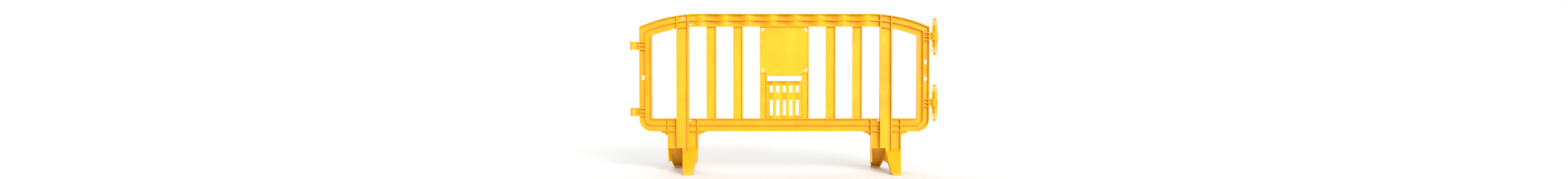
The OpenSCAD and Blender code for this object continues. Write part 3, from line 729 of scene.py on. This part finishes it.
def punch(obj, places, radius):
    """Drills holes along Y through a piece."""
    bm = bmesh.new()
    for place in places:
        made = bmesh.ops.create_cone(bm, cap_ends=True, segments=DRILL_SIDES, radius1=radius, radius2=radius,
                                     depth=DRILL_DEPTH)
        for v in made["verts"]:
            v.co = Vector((v.co.x, v.co.z, v.co.y)) + place
    bmesh.ops.recalc_face_normals(bm, faces=bm.faces)
    mesh = bpy.data.meshes.new("drill")
    bm.to_mesh(mesh)
    bm.free()
    drill = link(bpy.data.objects.new("drill", mesh))
    cut = obj.modifiers.new("holes", "BOOLEAN")
    cut.operation = "DIFFERENCE"
    cut.object = drill
    bpy.context.view_layer.update()
    result = bpy.data.meshes.new_from_object(obj.evaluated_get(bpy.context.evaluated_depsgraph_get()))
    obj.modifiers.remove(cut)
    old, obj.data = obj.data, result
    bpy.data.meshes.remove(old)
    drop(drill)


def mark_rubbed(mesh):
    """Marks the narrow faces of rounded outer edges, where a panel gets rubbed."""
    bm = bmesh.new()
    bm.from_mesh(mesh)
    layer = bm.faces.layers.float.new("rubbed_edge")
    for face in bm.faces:
        longest = max(e.calc_length() for e in face.edges)
        bent = [e.calc_face_angle_signed(0) for e in face.edges if e.is_manifold]
        outer = sum(1 for bend in bent if bend > RUBBED_BEND)
        face[layer] = 1.0 if outer >= 2 and face.calc_area() < RUBBED_WIDTH * longest else 0.0
    bm.to_mesh(mesh)
    bm.free()


def hand_over(obj, body, *nodes):
    """Finishes a piece: shading, material, body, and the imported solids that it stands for."""
    mesh = obj.data
    mark_rubbed(mesh)
    mesh.materials.clear()
    mesh.materials.append(polyethylene())
    mesh.polygons.foreach_set("material_index", [0] * len(mesh.polygons))
    mesh.polygons.foreach_set("use_smooth", [True] * len(mesh.polygons))
    even_normals(mesh)
    mesh.name = obj.name
    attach(obj, body)
    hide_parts(*nodes)
    return obj


# Operators


class BARRIER_OT_rails(bpy.types.Operator):
    """Sweeps the ribbed rails: the top rail's wavy middle and the bottom rail's three stretches"""

    bl_idname = "barrier.rails"
    bl_label = "Ribbed Rails"

    def execute(self, context):
        m = context.scene.barrier.moulding
        reach = m.web / 2 + m.fillet + MERGE
        waves = {"wave_length": m.wave_len, "wave_end": m.wave_end, "web_reach": reach,
                 "arch_start": m.arch_start, "arch_radius": m.arch_radius, "material": polyethylene()}
        low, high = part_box("top_rail_middle")
        section = section_object("top_rail_section", comb_section(m.top_rail, high.y - low.y, m))
        level = high.z - m.top_rail / 2
        points, edges = straight_path([(Vector((low.x, 0, level)), Vector((high.x, 0, level)))], WAVE_STEP)
        rail = point_object(PIECE_PREFIX + "top_rail_middle", points, edges)
        grow(rail, ribbed_rail_tree(), section=section, wave_swing=m.wave_swing, **waves)
        hole_x, hole_z = high.x - m.hole_inset, high.z - m.top_rail + m.hole_rise
        punch(rail, [Vector((side * hole_x, 0, hole_z)) for side in (-1, 1)], m.hole)
        drop(section)
        hand_over(rail, BODY, "top_rail_middle")
        nodes = ("bottom_rail_left", "bottom_rail_middle", "bottom_rail_right")
        low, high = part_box(nodes[1])
        section = section_object("bottom_rail_section", comb_section(high.z - low.z, high.y - low.y, m))
        ends = []
        for node in nodes:
            low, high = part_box(node)
            level = (low.z + high.z) / 2
            ends.append((Vector((low.x, 0, level)), Vector((high.x, 0, level))))
        points, edges = straight_path(ends, RAIL_STEP)
        rail = point_object(PIECE_PREFIX + "bottom_rail", points, edges)
        flat = {**waves, "arch_start": cad_high.x}
        grow(rail, ribbed_rail_tree(), section=section, wave_swing=0.0, **flat)
        drop(section)
        hand_over(rail, BODY, *nodes)
        return {"FINISHED"}


class BARRIER_OT_slats(bpy.types.Operator):
    """Stands the four slats and the two bars beside the grille between the rails"""

    bl_idname = "barrier.slats"
    bl_label = "Slats and Bars"

    def execute(self, context):
        m = context.scene.barrier.moulding
        groups = {
            "slats": ("left_outer_slat", "left_inner_slat", "right_inner_slat", "right_outer_slat"),
            "centre_bars": ("left_centre_bar", "right_centre_bar"),
        }
        for name, nodes in groups.items():
            low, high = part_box(nodes[0])
            section = section_object(name + "_section", channel_section(high.x - low.x, high.y - low.y, m))
            feet = []
            for node in nodes:
                node_low, node_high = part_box(node)
                feet.append(Vector(((node_low.x + node_high.x) / 2, 0, node_low.z)))
            piece = point_object(PIECE_PREFIX + name, feet)
            grow(piece, channel_tree(), section=section, height=high.z - low.z, material=polyethylene())
            drop(section)
            hand_over(piece, BODY, *nodes)
        return {"FINISHED"}


class BARRIER_OT_grille(bpy.types.Operator):
    """Makes the wavy slotted grille with its top bar"""

    bl_idname = "barrier.grille"
    bl_label = "Grille"

    def execute(self, context):
        m = context.scene.barrier.moulding
        low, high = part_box("grille")
        height = high.z - low.z - m.flange
        middle = low.z + height / 2
        ends = [(Vector((low.x, 0, middle)), Vector((high.x, 0, middle)))]
        points, edges = straight_path(ends, GRILLE_STEP)
        grille = point_object(PIECE_PREFIX + "grille", points, edges)
        grow(grille, grille_tree(), height=height, thickness=m.web, edge=m.edge / 4, pitch=m.grille_pitch,
             swing=m.grille_swing, columns=m.grille_columns, slot_width=m.slot_w, slot_corner=m.slot_corner,
             upper_height=m.upper_slot, upper_middle=high.z - m.grille_head - m.upper_slot / 2,
             lower_height=m.lower_slot, lower_middle=low.z + m.grille_sill + m.lower_slot / 2,
             material=polyethylene())
        bm = bmesh.new()
        bm.from_mesh(grille.data)
        bar = bmesh.ops.create_cube(bm, size=1)["verts"]
        for v in bar:
            v.co = Vector((v.co.x * (high.x - low.x), v.co.y * (high.y - low.y), v.co.z * m.flange))
            v.co.z += high.z - m.flange / 2
        rims = [e for e in bm.edges if abs(e.verts[0].co.x - e.verts[1].co.x) > m.web and e.verts[0] in bar]
        round_off(bm, rims, m.edge, EDGE_SEGMENTS)
        bm.to_mesh(grille.data)
        bm.free()
        hand_over(grille, BODY, "grille")
        return {"FINISHED"}


class BARRIER_OT_frame(bpy.types.Operator):
    """Rounds the frame's ends, the posts and the sign plate"""

    bl_idname = "barrier.frame"
    bl_label = "Frame Ends, Posts and Sign Plate"

    def execute(self, context):
        m = context.scene.barrier.moulding
        for node in ("top_rail_left", "top_rail_right", "left_stile", "right_stile",
                     "left_post", "right_post", "sign_plate"):
            hand_over(soften(node, m.edge, "post" not in node), BODY, node)
        return {"FINISHED"}


class BARRIER_OT_legs(bpy.types.Operator):
    """Rounds the leg plates and the feet, whose tops are softer than their other edges"""

    bl_idname = "barrier.legs"
    bl_label = "Legs and Feet"

    def execute(self, context):
        m = context.scene.barrier.moulding
        for side in ("left", "right"):
            for part in ("outer", "inner"):
                node = f"{side}_leg_{part}_plate"
                hand_over(soften(node, m.edge, fine=False), BODY, node)
            for end in ("front", "rear"):
                node = f"{side}_{end}_foot"
                hand_over(soften(node, m.edge, wide=m.foot_edge, wide_edges=on_foot_top), BODY, node)
        return {"FINISHED"}


class BARRIER_OT_couplings(bpy.types.Operator):
    """Rounds the loops, arms, pins and the barbs that flex"""

    bl_idname = "barrier.couplings"
    bl_label = "Couplings"

    def execute(self, context):
        m = context.scene.barrier.moulding
        for level in ("lower", "upper"):
            for part in ("loop", "arm", "pin"):
                node = f"{level}_{part}"
                hand_over(soften(node, m.pin_edge, fine=False), BODY, node)
        for joint in frame["joints"]:
            node = joint["child"]
            hand_over(soften(node, m.pin_edge), node, node)
        return {"FINISHED"}


class BARRIER_OT_stage(bpy.types.Operator):
    """Lays the floor and sets the light and the camera"""

    bl_idname = "barrier.stage"
    bl_label = "Stage"

    def execute(self, context):
        s = context.scene.barrier.stage
        scene = context.scene
        bm = bmesh.new()
        bmesh.ops.create_grid(bm, x_segments=1, y_segments=1, size=FLOOR_HALF)
        mesh = bpy.data.meshes.new("floor")
        bm.to_mesh(mesh)
        bm.free()
        floor = link(bpy.data.objects.new("floor", mesh))
        floor.location.z = -FLOOR_GAP
        paint = bpy.data.materials.new("matt_floor_paint")
        paint.use_nodes = True
        shader = paint.node_tree.nodes["Principled BSDF"]
        shader.inputs["Base Color"].default_value = (*s.floor, 1)
        shader.inputs["Roughness"].default_value = FLOOR_ROUGHNESS
        mesh.materials.append(paint)
        world = bpy.data.worlds.new("white_surround")
        world.use_nodes = True
        background = world.node_tree.nodes["Background"]
        background.inputs["Color"].default_value = (1, 1, 1, 1)
        background.inputs["Strength"].default_value = s.sky
        scene.world = world
        for name, strength, spread, rise, turn in (
                ("key_light", s.key, s.key_spread, s.key_rise, s.key_turn),
                ("fill_light", s.fill, s.fill_spread, s.fill_rise, s.fill_turn)):
            light = bpy.data.lights.new(name, "SUN")
            light.energy = strength
            light.angle = spread
            lamp = link(bpy.data.objects.new(name, light))
            lamp.rotation_euler = (math.pi / 2 - rise, 0, turn)
        lens = bpy.data.cameras.new("camera")
        lens.lens = s.lens
        lens.sensor_width = SENSOR_WIDTH
        lens.clip_end = VIEW_END
        camera = link(bpy.data.objects.new("camera", lens))
        camera.location = s.place
        camera.rotation_euler = (math.pi / 2 - s.tilt, 0, 0)
        scene.camera = camera
        scene.view_settings.view_transform = "Standard"
        return {"FINISHED"}


OPERATORS = (BARRIER_OT_rails, BARRIER_OT_slats, BARRIER_OT_grille, BARRIER_OT_frame, BARRIER_OT_legs,
             BARRIER_OT_couplings, BARRIER_OT_stage)


class BARRIER_PT_sidebar(bpy.types.Panel):
    """Lists the barrier's settings and steps"""

    bl_idname = "BARRIER_PT_sidebar"
    bl_label = "Barrier Panel"
    bl_space_type = "VIEW_3D"
    bl_region_type = "UI"
    bl_category = "Barrier"

    def draw(self, context):
        barrier = context.scene.barrier
        for group in (barrier.moulding, barrier.finish, barrier.stage):
            box = self.layout.box()
            for prop in type(group).__annotations__:
                box.prop(group, prop)
        for step in OPERATORS:
            self.layout.operator(step.bl_idname)


CLASSES = (BarrierMoulding, BarrierFinish, BarrierStage, BarrierSettings, *OPERATORS, BARRIER_PT_sidebar)


def register():
    """Registers the classes and the scene's settings."""
    for cls in CLASSES:
        bpy.utils.register_class(cls)
    bpy.types.Scene.barrier = bpy.props.PointerProperty(type=BarrierSettings)


def unregister():
    """Removes what register added."""
    del bpy.types.Scene.barrier
    for cls in reversed(CLASSES):
        bpy.utils.unregister_class(cls)


def main():
    """Makes every piece and the stage."""
    register()
    for step in OPERATORS:
        group, name = step.bl_idname.split(".")
        getattr(getattr(bpy.ops, group), name)()


if __name__ == "__main__":
    main()
